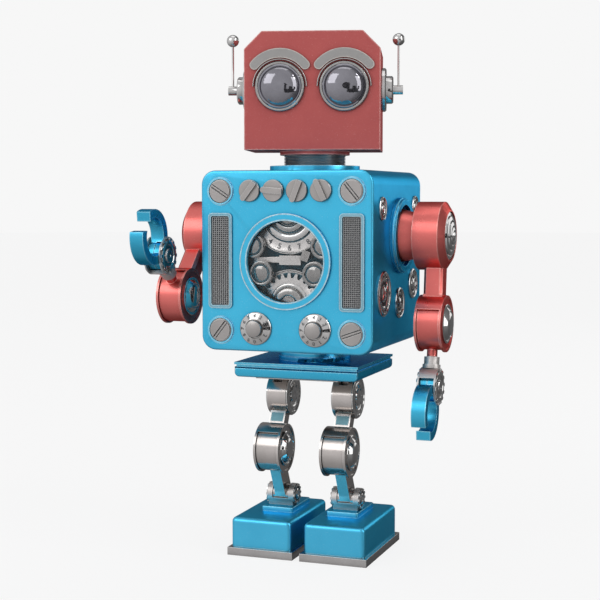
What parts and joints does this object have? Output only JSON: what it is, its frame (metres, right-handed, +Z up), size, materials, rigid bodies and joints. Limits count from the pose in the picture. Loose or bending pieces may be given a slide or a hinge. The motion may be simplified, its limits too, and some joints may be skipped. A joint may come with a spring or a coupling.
{
  "type": "wind-up robot",
  "caption": "Free-standing wind-up robot of tinplate and turned metal: box head and body, geared spring movement behind a round window, jointed arms with claws, jointed legs",
  "frame": {"origin": "on the floor, under the middle of the body, midway between the feet", "axes": "+Z up, the robot faces -Y, its own left side is +X"},
  "size_m": [0.1332, 0.1396, 0.2426],
  "materials": {
    "head_red": "satin lacquer, dusty, worn to bare tin along the bevels",
    "arm_red": "translucent red lacquer over bright metal",
    "case_blue": "satin cyan-blue lacquer with rubbed edges",
    "trim_blue": "metallic blue lacquer, glossy",
    "steel": "brushed and lightly tarnished",
    "bright": "polished, fine scratches",
    "frame_blue": "pale blue lacquer, thin and rubbed",
    "brow_gray": "gray lacquer",
    "eye_dome": "clear glossy dome over a blue-gray backing",
    "black_metal": "dark gray, semi-matte",
    "movement_dark": "dark blue-green, semi-matte",
    "clear": "thin clear pane",
    "mesh_gray": "fine woven wire",
    "train_steel": "turned and nickel plated"
  },
  "bodies": {
    "pelvis": {"pelvis_plate": "trim_blue", "hip_hanger": "steel"},
    "torso": {"torso_shell": "case_blue", "back_cover": "case_blue", "case_screws": "steel", "window_bezel": "case_blue", "window_pane": "clear", "grille_frames": "frame_blue", "grille_meshes": "mesh_gray", "shoulder_bosses": "trim_blue", "side_gauges": "bright", "movement_plates": "movement_dark", "movement_pillars": "train_steel", "swivel_bushes": "black_metal"},
    "knob_1": {"selector_knob_1": "steel"},
    "knob_2": {"selector_knob_2": "steel"},
    "knob_3": {"selector_knob_3": "steel"},
    "knob_4": {"selector_knob_4": "steel"},
    "dial_left": {"left_dial": "steel"},
    "dial_right": {"right_dial": "steel"},
    "barrel": {"mainspring_barrel": "train_steel", "mainspring": "train_steel"},
    "key": {"winding_key": "steel"},
    "click": {"ratchet_click": "train_steel"},
    "wheel_upper": {"upper_wheel": "train_steel"},
    "wheel_lower": {"lower_wheel": "train_steel"},
    "governor": {"governor_fly": "train_steel"},
    "lever": {"regulator_lever": "train_steel"},
    "head": {"head_shell": "head_red", "eye_bezels": "bright", "eye_lenses": "eye_dome", "brows": "brow_gray"},
    "aerial_left": {"left_aerial": "bright"},
    "aerial_right": {"right_aerial": "bright"},
    "left_arm": {"left_upper_arm": "arm_red", "left_arm_pins": "bright"},
    "left_forearm": {"left_forearm": "arm_red"},
    "left_wrist": {"left_wrist_collar": "bright", "left_wrist_pin": "bright"},
    "left_finger_front": {"left_front_finger": "trim_blue"},
    "left_finger_rear": {"left_rear_finger": "trim_blue"},
    "left_thigh": {"left_thigh": "steel", "left_leg_pins": "bright"},
    "left_shin": {"left_shin": "steel"},
    "left_foot": {"left_ankle_bracket": "steel", "left_foot_cover": "trim_blue", "left_foot_sole": "steel"},
    "right_arm": {"right_upper_arm": "arm_red", "right_arm_pins": "bright"},
    "right_forearm": {"right_forearm": "arm_red"},
    "right_wrist": {"right_wrist_collar": "bright", "right_wrist_pin": "bright"},
    "right_finger_front": {"right_front_finger": "trim_blue"},
    "right_finger_rear": {"right_rear_finger": "trim_blue"},
    "right_thigh": {"right_thigh": "steel", "right_leg_pins": "bright"},
    "right_shin": {"right_shin": "steel"},
    "right_foot": {"right_ankle_bracket": "steel", "right_foot_cover": "trim_blue", "right_foot_sole": "steel"}
  },
  "joints": [
    {"name": "waist_turn", "type": "hinge", "parent": "pelvis", "child": "torso", "pos_m": [0, 0, 0.09777], "axis": [0, 0, 1], "range_deg": [-60, 60]},
    {"name": "neck_turn", "type": "hinge", "parent": "torso", "child": "head", "pos_m": [0, 0, 0.18377], "axis": [0, 0, 1], "range_deg": [-60, 30]},
    {"name": "left_aerial_tilt", "type": "hinge", "parent": "head", "child": "aerial_left", "pos_m": [0.03222, 0.01112, 0.21652], "axis": [-0.9659, -0.2588, 0], "range_deg": [-40, 40]},
    {"name": "right_aerial_tilt", "type": "hinge", "parent": "head", "child": "aerial_right", "pos_m": [-0.03346, -0.00648, 0.21652], "axis": [-0.9659, -0.2588, 0], "range_deg": [-40, 40]},
    {"name": "selector_1_turn", "type": "hinge", "parent": "torso", "child": "knob_1", "pos_m": [-0.0168, -0.0395, 0.16967], "axis": [0, -1, 0], "range_deg": [-60, 60]},
    {"name": "selector_2_turn", "type": "hinge", "parent": "torso", "child": "knob_2", "pos_m": [-0.0056, -0.0395, 0.16967], "axis": [0, -1, 0], "range_deg": [-60, 60]},
    {"name": "selector_3_turn", "type": "hinge", "parent": "torso", "child": "knob_3", "pos_m": [0.0056, -0.0395, 0.16967], "axis": [0, -1, 0], "range_deg": [-60, 60]},
    {"name": "selector_4_turn", "type": "hinge", "parent": "torso", "child": "knob_4", "pos_m": [0.0168, -0.0395, 0.16967], "axis": [0, -1, 0], "range_deg": [-60, 60]},
    {"name": "left_dial_turn", "type": "hinge", "parent": "torso", "child": "dial_left", "pos_m": [0.014, -0.0395, 0.10816], "axis": [0, -1, 0], "range_deg": [-135, 135]},
    {"name": "right_dial_turn", "type": "hinge", "parent": "torso", "child": "dial_right", "pos_m": [-0.014, -0.0395, 0.10816], "axis": [0, -1, 0], "range_deg": [-135, 135]},
    {"name": "key_turn", "type": "hinge", "parent": "torso", "child": "key", "pos_m": [0, 0.0395, 0.13947], "axis": [0, -1, 0], "continuous": true},
    {"name": "click_lift", "type": "hinge", "parent": "torso", "child": "click", "pos_m": [0.011, -0.004, 0.14896], "axis": [0, -1, 0], "range_deg": [0, 12]},
    {"name": "barrel_turn", "type": "hinge", "parent": "torso", "child": "barrel", "pos_m": [0, -0.022, 0.13947], "axis": [0, -1, 0], "continuous": true},
    {"name": "upper_wheel_turn", "type": "hinge", "parent": "torso", "child": "wheel_upper", "pos_m": [0, -0.034, 0.15946], "axis": [0, -1, 0], "continuous": true},
    {"name": "lower_wheel_turn", "type": "hinge", "parent": "torso", "child": "wheel_lower", "pos_m": [0, -0.034, 0.11947], "axis": [0, -1, 0], "continuous": true},
    {"name": "governor_turn", "type": "hinge", "parent": "torso", "child": "governor", "pos_m": [0.01455, -0.02, 0.11106], "axis": [0, -1, 0], "continuous": true},
    {"name": "lever_rock", "type": "hinge", "parent": "torso", "child": "lever", "pos_m": [-0.0155, -0.034, 0.13886], "axis": [0, -1, 0], "range_deg": [-1.5, 1.5]},
    {"name": "left_shoulder_swing", "type": "hinge", "parent": "torso", "child": "left_arm", "pos_m": [0.058, 0.003, 0.14916], "axis": [-1, 0, 0], "range_deg": [-66, 144]},
    {"name": "left_elbow_bend", "type": "hinge", "parent": "left_arm", "child": "left_forearm", "pos_m": [0.058, -0.00118, 0.10938], "axis": [-1, 0, 0], "range_deg": [-5, 95]},
    {"name": "left_wrist_swivel", "type": "hinge", "parent": "left_forearm", "child": "left_wrist", "pos_m": [0.058, -0.00392, 0.0953], "axis": [0, -0.1908, -0.9816], "range_deg": [-90, 90]},
    {"name": "left_front_finger_bend", "type": "hinge", "parent": "left_wrist", "child": "left_finger_front", "pos_m": [0.058, -0.00666, 0.08121], "axis": [-1, 0, 0], "range_deg": [-8, 12]},
    {"name": "left_rear_finger_bend", "type": "hinge", "parent": "left_wrist", "child": "left_finger_rear", "pos_m": [0.058, -0.00666, 0.08121], "axis": [-1, 0, 0], "range_deg": [-12, 8]},
    {"name": "right_shoulder_swing", "type": "hinge", "parent": "torso", "child": "right_arm", "pos_m": [-0.058, 0.003, 0.14916], "axis": [-1, 0, 0], "range_deg": [-105, 105]},
    {"name": "right_elbow_bend", "type": "hinge", "parent": "right_arm", "child": "right_forearm", "pos_m": [-0.058, -0.02528, 0.12088], "axis": [-1, 0, 0], "range_deg": [-88, 12]},
    {"name": "right_wrist_swivel", "type": "hinge", "parent": "right_forearm", "child": "right_wrist", "pos_m": [-0.058, -0.03578, 0.13067], "axis": [0, -0.7314, 0.682], "range_deg": [-90, 90]},
    {"name": "right_front_finger_bend", "type": "hinge", "parent": "right_wrist", "child": "right_finger_front", "pos_m": [-0.058, -0.04627, 0.14045], "axis": [-1, 0, 0], "range_deg": [-8, 12]},
    {"name": "right_rear_finger_bend", "type": "hinge", "parent": "right_wrist", "child": "right_finger_rear", "pos_m": [-0.058, -0.04627, 0.14045], "axis": [-1, 0, 0], "range_deg": [-12, 8]},
    {"name": "left_hip_swing", "type": "hinge", "parent": "pelvis", "child": "left_thigh", "pos_m": [0.0162, 0.00125, 0.07326], "axis": [-1, 0, 0], "range_deg": [-20, 25]},
    {"name": "left_knee_bend", "type": "hinge", "parent": "left_thigh", "child": "left_shin", "pos_m": [0.0162, -0.01126, 0.04923], "axis": [-1, 0, 0], "range_deg": [-25, 50]},
    {"name": "left_ankle_tilt", "type": "hinge", "parent": "left_shin", "child": "left_foot", "pos_m": [0.0162, 0.0013, 0.0251], "axis": [-1, 0, 0], "range_deg": [-25, 10]},
    {"name": "right_hip_swing", "type": "hinge", "parent": "pelvis", "child": "right_thigh", "pos_m": [-0.0162, 0.00125, 0.07326], "axis": [-1, 0, 0], "range_deg": [-20, 25]},
    {"name": "right_knee_bend", "type": "hinge", "parent": "right_thigh", "child": "right_shin", "pos_m": [-0.0162, -0.01126, 0.04923], "axis": [-1, 0, 0], "range_deg": [-25, 50]},
    {"name": "right_ankle_tilt", "type": "hinge", "parent": "right_shin", "child": "right_foot", "pos_m": [-0.0162, 0.0013, 0.0251], "axis": [-1, 0, 0], "range_deg": [-25, 10]}
  ],
  "couplings": [
    {"joint": "upper_wheel_turn", "follows": "barrel_turn", "ratio": -4},
    {"joint": "lower_wheel_turn", "follows": "barrel_turn", "ratio": -4},
    {"joint": "governor_turn", "follows": "barrel_turn", "ratio": 12.8}
  ]
}
